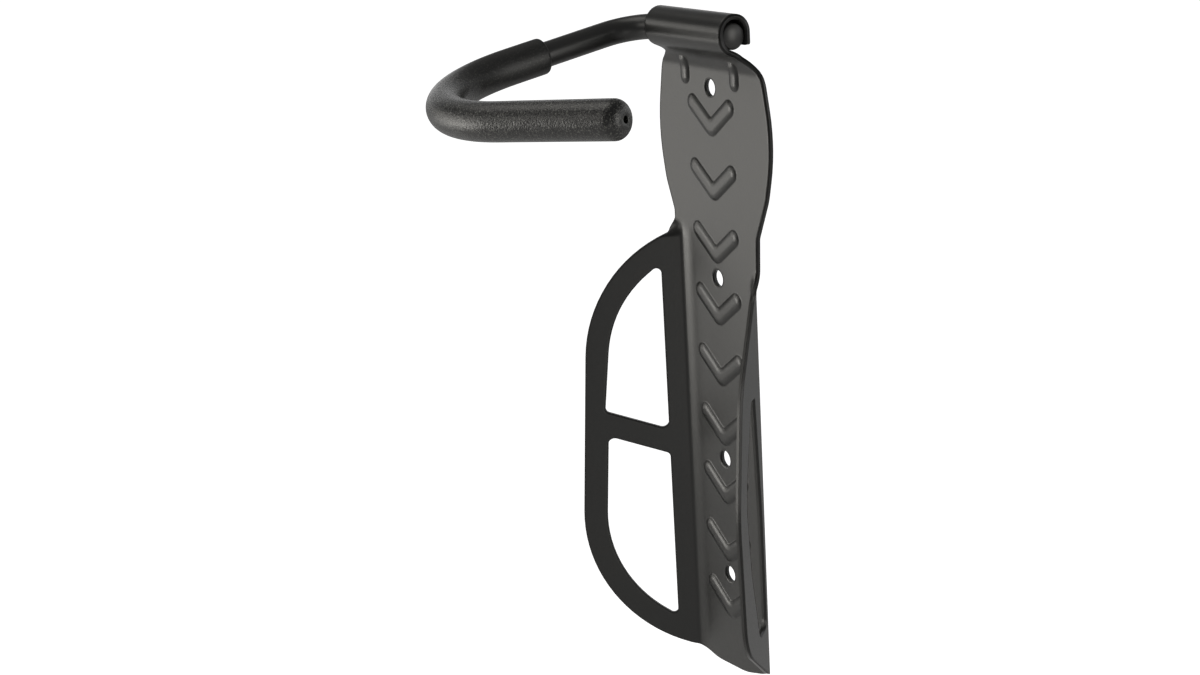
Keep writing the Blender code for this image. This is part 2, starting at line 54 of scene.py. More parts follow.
MM = 0.001
SHEET = 2.0
BODY_HALF_WIDTH = 22.5
FOLD_ANGLE = 50.0
FOLD_RADIUS = 3.0
CORNER_SETBACK = FOLD_RADIUS * math.tan(math.radians(FOLD_ANGLE) / 2)
FOLD_END = BODY_HALF_WIDTH - CORNER_SETBACK + FOLD_RADIUS * math.radians(FOLD_ANGLE)
WING_ORIGIN = FOLD_END - CORNER_SETBACK

# Each wing's fold starts with a slight swell: its length and its share of the fold's angle in degrees.
LEFT_SWELL = (5.5, 15.0)
RIGHT_SWELL = (1.0, 2.0)

# Heights above which a fold is flat, and below which it is full.
LEFT_FOLD_FADE = (45.5, 38.0)
RIGHT_FOLD_FADE = (33.0, 21.0)

ROD_DIAMETER = 9.8
EYE_HALF_LENGTH = 24.55
EYE_CLEARANCE = 0.15
EYE_OUTER_RADIUS = ROD_DIAMETER / 2 + EYE_CLEARANCE + SHEET
EYE_RISE = 1.3
EYE_TAIL = 5.0
NECK_TURN = 65.0
NECK_RADIUS = 10.0
ROD_AXIS_Y = -EYE_OUTER_RADIUS
ROD_AXIS_Z = 121.8
PIN_DIAMETER = 3.0
PIN_REST_ANGLE = 140.0
NOTCH_CLEARANCE = 0.3
NOTCH_ROUND = 0.8

# Arcs have a point at least every so many degrees.
ARC_STEP = 4.0


def turn(angle):
    """Unit vector at an angle in degrees in a flat drawing."""
    return Vector((math.cos(math.radians(angle)), math.sin(math.radians(angle))))


def neck_straight():
    """Length of the sloping run between the neck bend and the eye, which ends level with the wall face."""
    bends = (NECK_RADIUS + EYE_OUTER_RADIUS) * (1 - math.cos(math.radians(NECK_TURN)))
    return (2 * EYE_OUTER_RADIUS - SHEET - bends) / math.sin(math.radians(NECK_TURN))


def neck_start_z():
    """Height at which the neck bend starts, so that the eye comes round the rod's axis."""
    slope = math.radians(NECK_TURN)
    return ROD_AXIS_Z - (NECK_RADIUS + EYE_OUTER_RADIUS) * math.sin(slope) - neck_straight() * math.cos(slope)


def eye_path():
    """Front face of the neck and eye as runs of (length, turn in degrees); positive turns to the wall."""
    outer = math.radians(1) * EYE_OUTER_RADIUS
    return [
        (math.radians(NECK_TURN) * NECK_RADIUS, -NECK_TURN),
        (neck_straight(), 0.0),
        (NECK_TURN * outer, NECK_TURN),
        (EYE_RISE, 0.0),
        (180.0 * outer, 180.0),
        (EYE_TAIL, 0.0),
    ]


def notch_depth():
    """Length of the notch in the eye's free edge, up to where the stop pin stands at rest."""
    middle_radius = EYE_OUTER_RADIUS - SHEET / 2
    along = Vector((-math.cos(math.radians(PIN_REST_ANGLE)), math.sin(math.radians(PIN_REST_ANGLE))))
    start = Vector((-along.y, along.x)) * (PIN_DIAMETER / 2 + NOTCH_CLEARANCE) - Vector((0.0, EYE_RISE))
    reach = -start.dot(along) + math.sqrt(start.dot(along) ** 2 - start.length_squared + middle_radius ** 2)
    touch = start + along * reach
    return EYE_TAIL + (math.pi / 2 - math.atan2(touch.x, touch.y)) * EYE_OUTER_RADIUS


def cross(a, b):
    """Cross product of two flat vectors."""
    return a.x * b.y - a.y * b.x


def corner_arc(previous, corner, following):
    """Centre of the arc that rounds a corner (x, y, radius), its start seen from there, and its sweep."""
    tip = Vector(corner[:2])
    before = (Vector(previous[:2]) - tip).normalized()
    after = (Vector(following[:2]) - tip).normalized()
    half = before.angle(after) / 2
    centre = tip + (before + after).normalized() * corner[2] / math.sin(half)
    start = tip + before * corner[2] / math.tan(half) - centre
    return centre, start, math.copysign(math.pi - 2 * half, -cross(before, after))


def draw_outline(work, corners):
    """Draws a closed outline, each corner (x, y, radius) a point spun round its centre; returns its edges."""
    edges = []
    ends = []
    for index, corner in enumerate(corners):
        if corner[2] <= 0:
            point = work.verts.new((*corner[:2], 0.0))
            ends.append((point, point))
            continue
        centre, start, sweep = corner_arc(corners[index - 1], corner, corners[(index + 1) % len(corners)])
        point = work.verts.new((*(centre + start), 0.0))
        steps = max(2, math.ceil(math.degrees(abs(sweep)) / ARC_STEP))
        last = point
        for step in range(steps):
            spun = bmesh.ops.spin(work, geom=[last], cent=(*centre, 0.0), axis=(0, 0, 1),
                                  angle=sweep / steps, steps=1)
            last = [item for item in spun["geom_last"] if isinstance(item, bmesh.types.BMVert)][0]
            edges.append(last.link_edges[0])
        ends.append((point, last))
    for index, (point, _) in enumerate(ends):
        edges.append(work.edges.new((ends[index - 1][1], point)))
    return edges


# Wings: u runs outward along the front face of a wing from its corner with the body, z is height. A corner of
# an outline is (u, z, radius).
WING_BAR = 9.8
WING_ROOT_STRIP = 9.3
LEFT_WING = [(3.8, -138.8, 12.0), (50.0, -125.6, 58.0), (39.9, 24.5, 60.0), (6.0, 39.8, 1.6)]
RIGHT_WING = [(3.0, 23.2, 3.0), (27.5, -9.3, 40.0), (37.4, -56.0, 60.0), (33.6, -111.5, 24.0),
              (0.0, -136.6, 20.0)]
RIGHT_WINDOW = [(9.2, -15.5, 1.5), (14.6, -15.5, 2.0), (27.6, -51.0, 45.0), (23.4, -83.0, 60.0),
                (14.2, -114.0, 3.0), (3.1, -114.0, 4.0), (4.4, -64.0, 120.0)]

# The left wing's two windows. The upper one's outer bar narrows from its top to the foot of the wing.
UPPER_BAR = (10.8, 4.5)
CROSS_BAR = 9.8
CROSS_BAR_MIDDLE = Vector((20.0, -45.2))
CROSS_BAR_SLOPE = 16.5
ARC_TOUCH = WING_ROOT_STRIP + 5.0
TIGHT_CORNER = 2.0
WIDE_CORNER = 3.0


def offset_line(start, end, distance, end_distance=None):
    """The line from start to end moved to its own right, by two distances where it tapers."""
    start, end = Vector(start[:2]), Vector(end[:2])
    along = (end - start).normalized()
    side = Vector((along.y, -along.x))
    near = start + side * distance
    far = end + side * (distance if end_distance is None else end_distance)
    return near, (far - near).normalized()


def meet(line_a, line_b):
    """Where two lines, each a point and a direction, cross."""
    (start_a, along_a), (start_b, along_b) = line_a, line_b
    return start_a + along_a * cross(start_b - start_a, along_b) / cross(along_a, along_b)


def arc_tangent(previous, corner, following, u, side):
    """The line that touches, at u, the arc one bar inside a wing's corner; side is 1 above, -1 below."""
    centre, start, _ = corner_arc(previous, corner, following)
    radius = start.length - WING_BAR
    spoke = Vector((u - centre.x, side * math.sqrt(radius ** 2 - (u - centre.x) ** 2)))
    return centre + spoke, Vector((spoke.y, -spoke.x)).normalized()


def left_windows():
    """Corners of the two windows of the left wing, above and below its slanting cross-bar."""
    root_bottom, wing_bottom, wing_top, root_top = LEFT_WING
    top = arc_tangent(root_top, wing_top, wing_bottom, ARC_TOUCH, 1)
    bottom = arc_tangent(wing_top, wing_bottom, root_bottom, ARC_TOUCH, -1)
    outer = offset_line(wing_top, wing_bottom, WING_BAR)
    upper_outer = offset_line(wing_top, wing_bottom, *UPPER_BAR)
    root = (Vector((WING_ROOT_STRIP, 0.0)), Vector((0.0, 1.0)))
    bar_half = turn(CROSS_BAR_SLOPE + 90) * CROSS_BAR / 2
    bar_top = (CROSS_BAR_MIDDLE + bar_half, turn(CROSS_BAR_SLOPE))
    bar_bottom = (CROSS_BAR_MIDDLE - bar_half, turn(CROSS_BAR_SLOPE))
    upper = [(*meet(root, top), TIGHT_CORNER), (*meet(top, upper_outer), wing_top[2] - WING_BAR),
             (*meet(upper_outer, bar_top), TIGHT_CORNER), (*meet(root, bar_top), WIDE_CORNER)]
    lower = [(*meet(root, bar_bottom), TIGHT_CORNER), (*meet(outer, bar_bottom), WIDE_CORNER),
             (*meet(outer, bottom), wing_bottom[2] - WING_BAR), (*meet(root, bottom), TIGHT_CORNER)]
    return upper, lower


# The body's own outline, seen from the front: a corner is (x, z, radius), and the left head's x is mirrored.
NECK_FOOT = (EYE_HALF_LENGTH, 113.5, 2.0)
EYE_CORNER_ROUND = 1.0
LEFT_HEAD = [(32.3, 107.3, 8.0), (37.0, 80.8, 70.0), (33.1, 60.5, 25.0)]
RIGHT_HEAD = [(32.9, 106.5, 11.0), (38.1, 81.5, 62.0), (33.1, 60.5, 25.0)]
LEFT_WAIST = (-28.3, 48.5, 5.0)
RIGHT_WAIST = (26.4, 45.0, 5.0)
FOOT = [(9.0, -140.6, 30.0), (-11.25, -141.7, 30.0)]


def blank_outline():
    """Corners of the whole blank laid flat, clockwise from the notch in its top edge."""
    top = neck_start_z() + sum(length for length, _ in eye_path())
    notch = PIN_DIAMETER / 2 + NOTCH_CLEARANCE
    notch_foot = top - notch_depth()
    neck = [(EYE_HALF_LENGTH, top, EYE_CORNER_ROUND), NECK_FOOT]
    corners = [(notch, top, 0.0)] + neck + RIGHT_HEAD + [RIGHT_WAIST]
    corners += [(WING_ORIGIN + u, z, radius) for u, z, radius in RIGHT_WING] + FOOT
    corners += [(-WING_ORIGIN - u, z, radius) for u, z, radius in LEFT_WING] + [LEFT_WAIST]
    corners += [(-x, z, radius) for x, z, radius in reversed(neck + LEFT_HEAD)]
    return corners + [(-notch, top, 0.0), (-notch, notch_foot, NOTCH_ROUND), (notch, notch_foot, NOTCH_ROUND)]


SCREW_HOLE_DIAMETER = 7.0
SCREW_HOLE_HEIGHTS = (100.0, 25.0, -50.0, -100.0)
SCREW_HOLE_SIDES = 40
CHEVRON_DROPS = [80.1 - 25.1 * index for index in range(9)]
CHEVRON_REACH = Vector((11.9, 8.9))
CHEVRON_HALF_WIDTH = 3.4
CHEVRON_POINT_ROUND = 5.5
CHEVRON_CROOK_ROUND = 0.8
CHEVRON_HEIGHT = 0.9
GUSSET_X = 16.2
GUSSET_RISE = 0.7
GUSSET_HALF_SIZE = (3.0, 5.9)
GUSSET_HEIGHT = 1.1
RIB_FLANK = 2.8
RIB_STEPS = 10
RIB_BACK_SHAPE = 0.85
RIB_END_FULLNESS = 0.97
COLLAR = 0.4
EDGE_ROUND = 0.45
EDGE_STEPS = 3


def chevron_corners(drop):
    """Corners of a V with round ends, its lowest point at height drop, drawn one collar too big all round."""
    half = CHEVRON_HALF_WIDTH + COLLAR
    stretch = CHEVRON_REACH.length / CHEVRON_REACH.x
    middle = drop + CHEVRON_HALF_WIDTH * stretch
    along = CHEVRON_REACH.normalized()
    lower = CHEVRON_REACH + (along + Vector((along.y, -along.x))) * half
    upper = CHEVRON_REACH + (along + Vector((-along.y, along.x))) * half
    end_round = half * RIB_END_FULLNESS
    return [(0.0, middle - half * stretch, CHEVRON_POINT_ROUND), (lower.x, middle + lower.y, end_round),
            (upper.x, middle + upper.y, end_round), (0.0, middle + half * stretch, CHEVRON_CROOK_ROUND),
            (-upper.x, middle + upper.y, end_round), (-lower.x, middle + lower.y, end_round)]


def gusset_corners(side):
    """Corners of a long rib with round ends across the start of the neck bend, drawn one collar too big."""
    half_width, half_length = [size + COLLAR for size in GUSSET_HALF_SIZE]
    end_round = half_width * RIB_END_FULLNESS
    return [(side * GUSSET_X + x * half_width, neck_start_z() + GUSSET_RISE + y * half_length, end_round)
            for x, y in ((-1, -1), (1, -1), (1, 1), (-1, 1))]


def raise_rib(work, faces, height):
    """Presses a flat patch of the blank up into a rib with a round back, inside a flat collar."""
    bmesh.ops.inset_region(work, faces=faces, use_even_offset=True, thickness=COLLAR)
    for step in range(1, RIB_STEPS + 1):
        share = step / RIB_STEPS
        bmesh.ops.inset_region(work, faces=faces, use_even_offset=True, thickness=RIB_FLANK / RIB_STEPS)
        for vert in {vert for face in faces for vert in face.verts}:
            vert.co.z = height * (1 - (1 - share) ** 2) ** RIB_BACK_SHAPE


def round_rim(work, faces):
    """Rounds the face's edge at the outline and at every hole, and leaves a flat collar inside it."""
    for step in range(1, EDGE_STEPS + 1):
        before, after = [math.radians(90.0 * part / EDGE_STEPS) for part in (step - 1, step)]
        width = EDGE_ROUND * (math.cos(before) - math.cos(after))
        bmesh.ops.inset_region(work, faces=faces, use_boundary=True, use_even_offset=True, thickness=width)
        for vert in {vert for face in faces for vert in face.verts}:
            vert.co.z = EDGE_ROUND * (math.sin(after) - 1.0)
    bmesh.ops.inset_region(work, faces=faces, use_boundary=True, use_even_offset=True, thickness=COLLAR)


def follow(path, distance, raised):
    """Depth in front of the start and distance from it of a point this far along a bent path of sheet."""
    depth = reached = heading = 0.0
    for length, angle in path + [(math.inf, 0.0)]:
        run = min(distance, length)
        if angle:
            radius = length / math.radians(angle)
            swing = run / radius
            depth += radius * (math.cos(heading + swing) - math.cos(heading))
            reached += radius * (math.sin(heading + swing) - math.sin(heading))
            heading += swing
        else:
            depth -= run * math.sin(heading)
            reached += run * math.cos(heading)
        distance -= run
        if distance <= 0:
            break
    return depth + raised * math.cos(heading), reached + raised * math.sin(heading)


def wing_path(s):
    """A wing's fold at full angle, as for the eye: a slight swell of the body, and then the bend."""
    swell_length, swell_angle = LEFT_SWELL if s < 0 else RIGHT_SWELL
    bend_angle = FOLD_ANGLE - swell_angle
    return [(swell_length, -swell_angle), (math.radians(bend_angle) * FOLD_RADIUS, -bend_angle)]


def fold_wing(s, t, raised):
    """Sideways place and depth in front of the flat face; above the wing the fold fades into the head."""
    flat_z, full_z = LEFT_FOLD_FADE if s < 0 else RIGHT_FOLD_FADE
    share = min(max((flat_z - t) / (flat_z - full_z), 0.0), 1.0)
    share = share * share * (3 - 2 * share)
    path = [(length, angle * share) for length, angle in wing_path(s)]
    start = FOLD_END - sum(length for length, _ in path)
    if abs(s) <= start or share == 0:
        return s, raised
    depth, reached = follow(path, abs(s) - start, raised)
    return math.copysign(start + reached, s), depth


def folded(s, t, raised):
    """Where a point of the flat blank ends, in metres; raised is its height in front of the front face."""
    if t > neck_start_z():
        depth, reached = follow(eye_path(), t - neck_start_z(), raised)
        return Vector((s, -SHEET - depth, neck_start_z() + reached)) * MM
    across, depth = fold_wing(s, t, raised)
    return Vector((across, -SHEET - depth, t)) * MM


FOLD_STEPS = 8
FADE_STEPS = 16

# Further edges of the blank this far outside a fold, so that its shading ends there and the wing looks flat.
OUTSIDE_FOLD = (0.4, 1.8, 3.3, 4.8, 6.3, 8.3)


def bend_lines():
    """Levels of s and t at which the blank needs an edge so that it can bend smoothly."""
    across = []
    for side in (-1, 1):
        start = FOLD_END
        for length, _ in reversed(wing_path(side)):
            across += [side * (start - length * step / FOLD_STEPS) for step in range(FOLD_STEPS)]
            start -= length
        across += [side * (start - COLLAR), side * start]
        across += [side * (FOLD_END + beyond) for beyond in OUTSIDE_FOLD]
    up = []
    for flat_z, full_z in (LEFT_FOLD_FADE, RIGHT_FOLD_FADE):
        up += [full_z + (flat_z - full_z) * step / FADE_STEPS for step in range(-1, FADE_STEPS + 2)]
    level = neck_start_z()
    up.append(level - COLLAR)
    for length, angle in eye_path():
        steps = max(2, math.ceil(abs(angle) / ARC_STEP))
        up += [level + length * step / steps for step in range(steps)]
        level += length
    return across, up


def fill(work, edges):
    """Fills the outlines with flat faces; an outline inside another is left as a hole."""
    filled = bmesh.ops.triangle_fill(work, edges=edges, use_beauty=True, normal=(0, 0, 1))
    return [item for item in filled["geom"] if isinstance(item, bmesh.types.BMFace)]


def in_order(items):
    """Each item once, in the order they come in, so that every run gives the same mesh."""
    return list(dict.fromkeys(items))


def finish_mesh(name, work, material):
    """Turns a bmesh in metres into a smooth-shaded object with one material."""
    mesh = bpy.data.meshes.new(name)
    work.to_mesh(mesh)
    work.free()
    mesh.shade_smooth()
    mesh.materials.append(material)
    item = bpy.data.objects.new(name, mesh)
    bpy.context.scene.collection.objects.link(item)
    return item


# Points of the blank closer than this to a bend line are taken to be on it.
SAME_PLACE = 0.01


def wing_faces(work):
    """The faces that reach below the height where both folds have faded out."""
    top = max(LEFT_FOLD_FADE + RIGHT_FOLD_FADE)
    return [face for face in work.faces if min(vert.co.y for vert in face.verts) < top]


def cut_faces(work, faces, levels, normal):
    """Cuts the faces by planes that stand at these levels along the normal."""
    geometry = in_order(item for face in faces for item in (*face.verts, *face.edges, face))
    for level in levels:
        cut = bmesh.ops.bisect_plane(work, geom=geometry, plane_co=normal * level, plane_no=normal,
                                     dist=SAME_PLACE)
        geometry = cut["geom"]


def press_plate(material):
    """Cuts the blank, presses its ribs, gives it its thickness, and folds and rolls it."""
    work = bmesh.new()
    edges = draw_outline(work, blank_outline())
    for height in SCREW_HOLE_HEIGHTS:
        hole = bmesh.ops.create_circle(work, segments=SCREW_HOLE_SIDES, radius=SCREW_HOLE_DIAMETER / 2,
                                       matrix=Matrix.Translation((0.0, height, 0.0)))
        edges += in_order(edge for vert in hole["verts"] for edge in vert.link_edges)
    for window in left_windows():
        edges += draw_outline(work, [(-WING_ORIGIN - u, z, radius) for u, z, radius in window])
    edges += draw_outline(work, [(WING_ORIGIN + u, z, radius) for u, z, radius in RIGHT_WINDOW])
    chevrons = [draw_outline(work, chevron_corners(drop)) for drop in CHEVRON_DROPS]
    gussets = [draw_outline(work, gusset_corners(side)) for side in (-1, 1)]
    fill(work, edges + [edge for rib in chevrons + gussets for edge in rib])
    ribs = [(fill(work, rib), CHEVRON_HEIGHT) for rib in chevrons]
    ribs += [(fill(work, rib), GUSSET_HEIGHT) for rib in gussets]
    round_rim(work, work.faces[:])
    for faces, height in ribs:
        raise_rib(work, faces, height)
    across, up = bend_lines()
    cut_faces(work, wing_faces(work), across, Vector((1.0, 0.0, 0.0)))
    cut_faces(work, work.faces[:], up, Vector((0.0, 1.0, 0.0)))
    bmesh.ops.triangulate(work, faces=work.faces[:])
    back = bmesh.ops.extrude_face_region(work, geom=work.faces[:], use_keep_orig=True)
    for vert in back["geom"]:
        if isinstance(vert, bmesh.types.BMVert):
            vert.co.z = abs(vert.co.z) - SHEET
    for vert in work.verts:
        vert.co = folded(*vert.co)
    bmesh.ops.recalc_face_normals(work, faces=work.faces[:])
    return finish_mesh("pressed_plate", work, material)


def linear(code):
    """Linear colour of an sRGB hex value."""
    parts = [int(code[place:place + 2], 16) / 255 for place in (1, 3, 5)]
    parts = [part / 12.92 if part <= 0.04045 else ((part + 0.055) / 1.055) ** 2.4 for part in parts]
    return (*parts, 1.0)


def add_node(material, kind, inputs=None, **settings):
    """Adds a node with its settings; inputs maps each socket to a value or to the output that feeds it."""
    made = material.node_tree.nodes.new(kind)
    for name, value in settings.items():
        setattr(made, name, value)
    for socket, value in (inputs or {}).items():
        if isinstance(value, bpy.types.NodeSocket):
            material.node_tree.links.new(value, made.inputs[socket])
        else:
            made.inputs[socket].default_value = value
    return made


def start_material(name):
    """A new material with its shader and the object's own coordinates."""
    material = bpy.data.materials.new(name)
    material.use_nodes = True
    shader = material.node_tree.nodes["Principled BSDF"]
    place = add_node(material, "ShaderNodeTexCoord").outputs["Object"]
    return material, shader, place


def per_metre(size_mm):
    """Scale of a texture whose features are this many millimetres apart."""
    return 1.0 / (size_mm * MM)


def make_powder_coat():
    """Black polyester powder coat, semi-gloss: near black, with a soft sheen and a faint orange peel."""
    material, shader, place = start_material("black_powder_coat")
    links = material.node_tree.links
    peel = add_node(material, "ShaderNodeTexNoise", {
        "Vector": place, "Scale": per_metre(1.8), "Detail": 2.0})
    grain = add_node(material, "ShaderNodeTexNoise", {
        "Vector": place, "Scale": per_metre(0.6), "Detail": 2.0})
    cloud = add_node(material, "ShaderNodeTexNoise", {
        "Vector": place, "Scale": per_metre(30.0), "Detail": 3.0})
    colour = add_node(material, "ShaderNodeMix", {
        "Factor": cloud.outputs["Fac"], "A": linear("#131312"), "B": linear("#1a1a18")}, data_type="RGBA")
    rough = add_node(material, "ShaderNodeMapRange", {
        "Value": grain.outputs["Fac"], "From Min": 0.3, "From Max": 0.7, "To Min": 0.3, "To Max": 0.36})
    fine = add_node(material, "ShaderNodeBump", {
        "Height": grain.outputs["Fac"], "Strength": 0.12, "Distance": 0.05 * MM})
    bump = add_node(material, "ShaderNodeBump", {
        "Height": peel.outputs["Fac"], "Normal": fine.outputs["Normal"],
        "Strength": 0.25, "Distance": 0.08 * MM})
    links.new(colour.outputs["Result"], shader.inputs["Base Color"])
    links.new(rough.outputs["Result"], shader.inputs["Roughness"])
    links.new(bump.outputs["Normal"], shader.inputs["Normal"])
    shader.inputs["IOR"].default_value = 1.5
    return material


powder_coat = make_powder_coat()
plate = press_plate(powder_coat)
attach(plate, "plate")
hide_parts("back_plate")

# -------------------------------------------------------------------------------------------------- Hook rod
# One 9.8 mm steel rod, cut square and bent cold: through the eye, forward in a tight bend, and back towards
# the wall in a wide one. It is painted black and turns in the eye.

EYE_EXIT = 0.5
LEG_BEND_RADIUS = 15.8
LEG_BEND_TURN = 90.0
LEG_LENGTH = 42.9
LEG_DIP = 9.5
HOOK_BEND_RADIUS = 48.0
HOOK_BEND_TURN = 113.5
TIP_LENGTH = 49.3
ROD_END_RECESS = 0.5
ROD_CHAMFER = 0.5
BEND_STEP = 3.0

EYE_RUN = 2 * EYE_HALF_LENGTH - ROD_END_RECESS + EYE_EXIT
ROD_SIDES = 48


class Bender:
    """Draws a ring of edges along a path, as a bender does a rod. It starts at place, facing -X."""

    def __init__(self, work, place, radius):
        self.work = work
        self.place = place
        self.heading = Vector((-1.0, 0.0, 0.0))
        matrix = Matrix.Translation(place) @ Matrix.Rotation(math.radians(-90.0), 4, "Y")
        ring = bmesh.ops.create_circle(work, segments=ROD_SIDES, radius=radius, matrix=matrix)
        self.edges = in_order(edge for vert in ring["verts"] for edge in vert.link_edges)
        self.radius = radius

    def ring(self):
        """The points of the ring where the path has got to."""
        return in_order(vert for edge in self.edges for vert in edge.verts)

    def feed(self, length, radius=None):
        """Draws the ring straight on by a length, and to a new radius if one is given."""
        drawn = bmesh.ops.extrude_edge_only(self.work, edges=self.edges)["geom"]
        self.edges = [item for item in drawn if isinstance(item, bmesh.types.BMEdge)]
        bmesh.ops.translate(self.work, verts=self.ring(), vec=self.heading * length)
        self.place = self.place + self.heading * length
        if radius is not None:
            centre = Matrix.Translation(-self.place)
            scale = radius / self.radius
            bmesh.ops.scale(self.work, verts=self.ring(), vec=(scale, scale, scale), space=centre)
            self.radius = radius

    def bend(self, bend_radius, angle):
        """Bends the path by an angle in degrees, to its own left seen from above where that is positive."""
        side = Vector((-self.heading.y, self.heading.x, 0.0)) * math.copysign(1.0, angle)
        centre = self.place + side * bend_radius
        steps = math.ceil(abs(angle) / BEND_STEP)
        spun = bmesh.ops.spin(self.work, geom=self.edges, cent=centre, axis=(0, 0, 1),
                              angle=math.radians(angle), steps=steps)["geom_last"]
        self.edges = [item for item in spun if isinstance(item, bmesh.types.BMEdge)]
        swing = Matrix.Rotation(math.radians(angle), 3, "Z")
        self.place = centre + swing @ (self.place - centre)
        self.heading = swing @ self.heading

    def cap(self):
        """Closes the ring with a flat end."""
        bmesh.ops.edgeloop_fill(self.work, edges=self.edges)


# Points closer than this are one point.
DOUBLES = 0.001


def hang_hook(work):
    """Brings what was drawn flat round the origin to the eye, dipped to its rest angle, in metres."""
    bmesh.ops.remove_doubles(work, verts=work.verts[:], dist=DOUBLES)
    bmesh.ops.recalc_face_normals(work, faces=work.faces[:])
    place = Matrix.Translation((0.0, ROD_AXIS_Y * MM, ROD_AXIS_Z * MM))
    dip = Matrix.Rotation(math.radians(LEG_DIP), 4, "X")
    bmesh.ops.transform(work, verts=work.verts[:], matrix=place @ dip @ Matrix.Scale(MM, 4))


def make_rod_paint():
    """Black paint on drawn steel, satin: a little greyer and duller than the plate, with a faint peel."""
    material, shader, place = start_material("black_rod_paint")
    links = material.node_tree.links
    peel = add_node(material, "ShaderNodeTexNoise", {
        "Vector": place, "Scale": per_metre(2.2), "Detail": 2.0})
    cloud = add_node(material, "ShaderNodeTexNoise", {
        "Vector": place, "Scale": per_metre(14.0), "Detail": 3.0})
    colour = add_node(material, "ShaderNodeMix", {
        "Factor": cloud.outputs["Fac"], "A": linear("#1c1c1b"), "B": linear("#242423")}, data_type="RGBA")
    rough = add_node(material, "ShaderNodeMapRange", {
        "Value": cloud.outputs["Fac"], "From Min": 0.3, "From Max": 0.7, "To Min": 0.34, "To Max": 0.4})
    bump = add_node(material, "ShaderNodeBump", {
        "Height": peel.outputs["Fac"], "Strength": 0.25, "Distance": 0.06 * MM})
    links.new(colour.outputs["Result"], shader.inputs["Base Color"])
    links.new(rough.outputs["Result"], shader.inputs["Roughness"])
    links.new(bump.outputs["Normal"], shader.inputs["Normal"])
    shader.inputs["IOR"].default_value = 1.5
    return material


def bend_rod(material):
    """Feeds and bends the rod from its end in the eye to its tip, with both ends chamfered."""
    work = bmesh.new()
    radius = ROD_DIAMETER / 2
    rod = Bender(work, Vector((EYE_HALF_LENGTH - ROD_END_RECESS, 0.0, 0.0)), radius - ROD_CHAMFER)
    rod.cap()
    rod.feed(ROD_CHAMFER, radius)
    rod.feed(EYE_RUN - ROD_CHAMFER)
    rod.bend(LEG_BEND_RADIUS, LEG_BEND_TURN)
    rod.feed(LEG_LENGTH)
    rod.bend(HOOK_BEND_RADIUS, HOOK_BEND_TURN)
    rod.feed(TIP_LENGTH - ROD_CHAMFER)
    rod.feed(ROD_CHAMFER, radius - ROD_CHAMFER)
    rod.cap()
    hang_hook(work)
    return finish_mesh("bent_rod", work, material)


rod = bend_rod(make_rod_paint())
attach(rod, "hook")
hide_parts("hook_rod")

# ----------------------------------------------------------------------------------------------- Grip sleeve
# A moulded tube of black closed-cell foam, closed and round at its tip but for a small vent. It is pushed on
# over the rod's end and grips it, and its skin is smooth at the mouth and grainy where it is stretched.

SLEEVE_CLEARANCE = 0.2
SLEEVE_WALL = 1.95
SLEEVE_BORE_RADIUS = ROD_DIAMETER / 2 + SLEEVE_CLEARANCE
SLEEVE_RADIUS = SLEEVE_BORE_RADIUS + SLEEVE_WALL
SLEEVE_START = 28.3
SLEEVE_END_WALL = 4.2
SLEEVE_MOUTH_ROUND = 1.3
SLEEVE_MOUTH_CHAMFER = 0.3
SLEEVE_TIP_ROUND = 4.6
VENT_RADIUS = 1.1
VENT_ROUND = 0.3
LEG_RINGS = 8
TIP_RINGS = 16


def round_over(bender, radius, start_angle, end_angle, inner, steps):
    """Rounds the ring's path over a corner of this radius; inner is the ring radius at the arc's centre."""
    for step in range(1, steps + 1):
        before = math.radians(start_angle + (end_angle - start_angle) * (step - 1) / steps)
        after = math.radians(start_angle + (end_angle - start_angle) * step / steps)
        bender.feed(radius * (math.sin(after) - math.sin(before)), inner + radius * math.cos(after))


